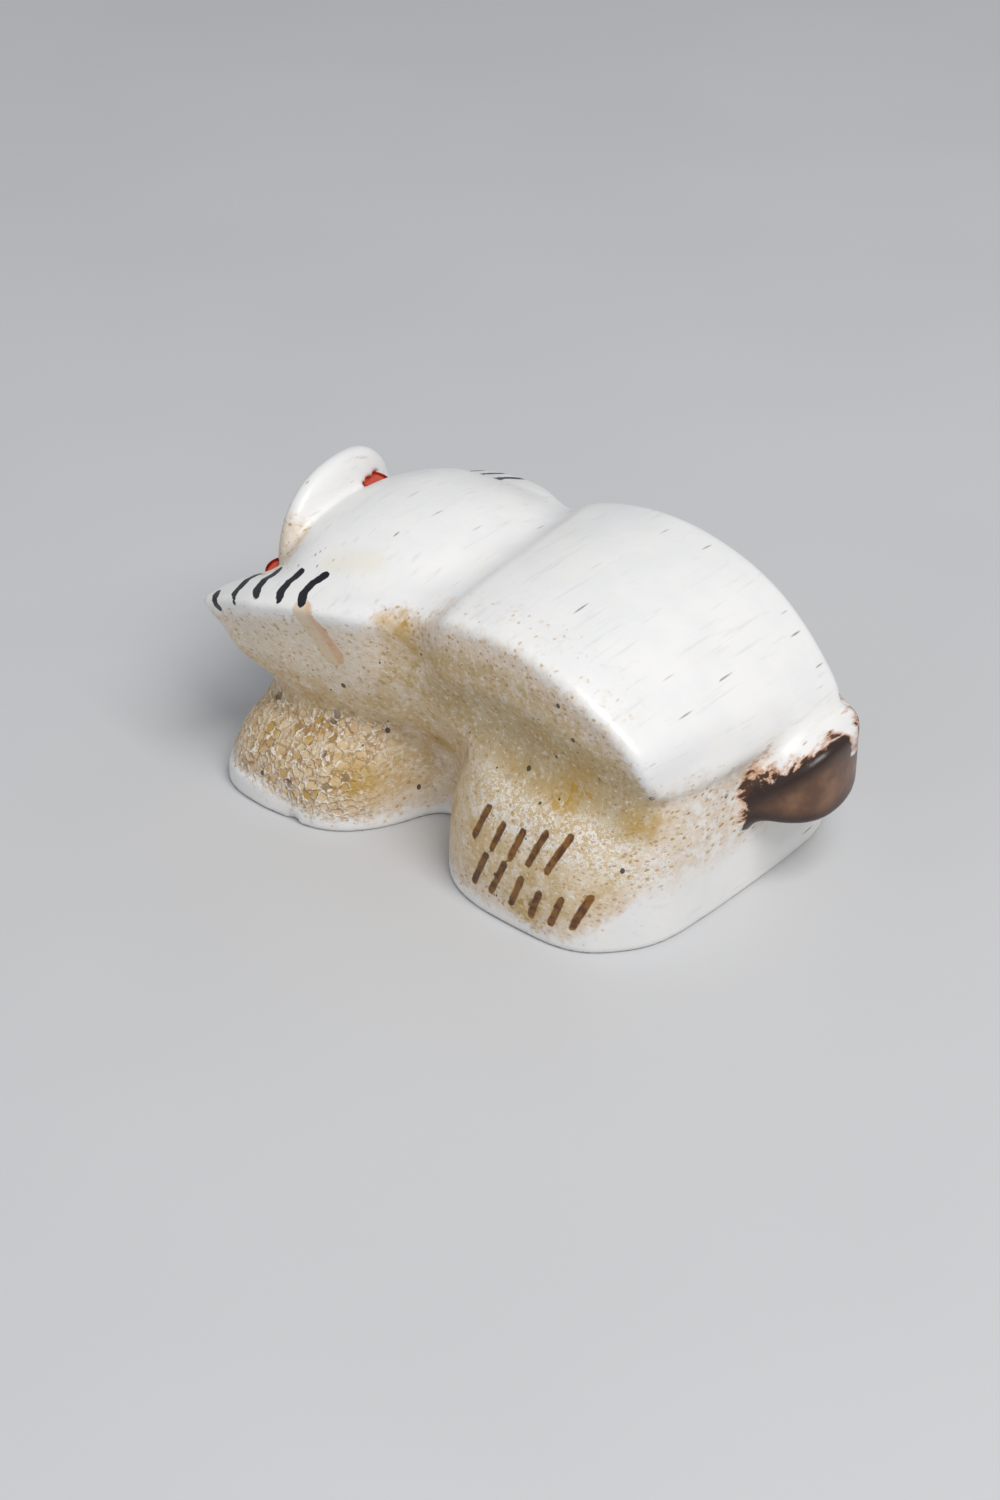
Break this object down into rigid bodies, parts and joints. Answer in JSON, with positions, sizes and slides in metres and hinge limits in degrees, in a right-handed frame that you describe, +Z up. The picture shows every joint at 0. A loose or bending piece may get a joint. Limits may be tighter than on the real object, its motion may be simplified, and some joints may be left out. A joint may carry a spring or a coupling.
{
  "type": "carved antler animal figure",
  "caption": "Small hand-carved antler animal with a domed head, side horns, raised muzzle, coral eyes and a brown tail, resting on its flat underside.",
  "frame": {"origin": "on the flat underside, below the middle of the carving's length and width", "axes": "+Z up; the animal faces -Y, its tail is at +Y and its left side is +X"},
  "size_m": [0.0338, 0.0536, 0.026],
  "materials": {
    "antler": "sanded and polished deer or elk antler: white outer bone, tan spongy core on the sides, brown natural skin on the tail",
    "coral": "polished orange-red coral"
  },
  "bodies": {
    "root": {"carving": "antler", "left_eye": "coral", "right_eye": "coral"}
  },
  "joints": []
}
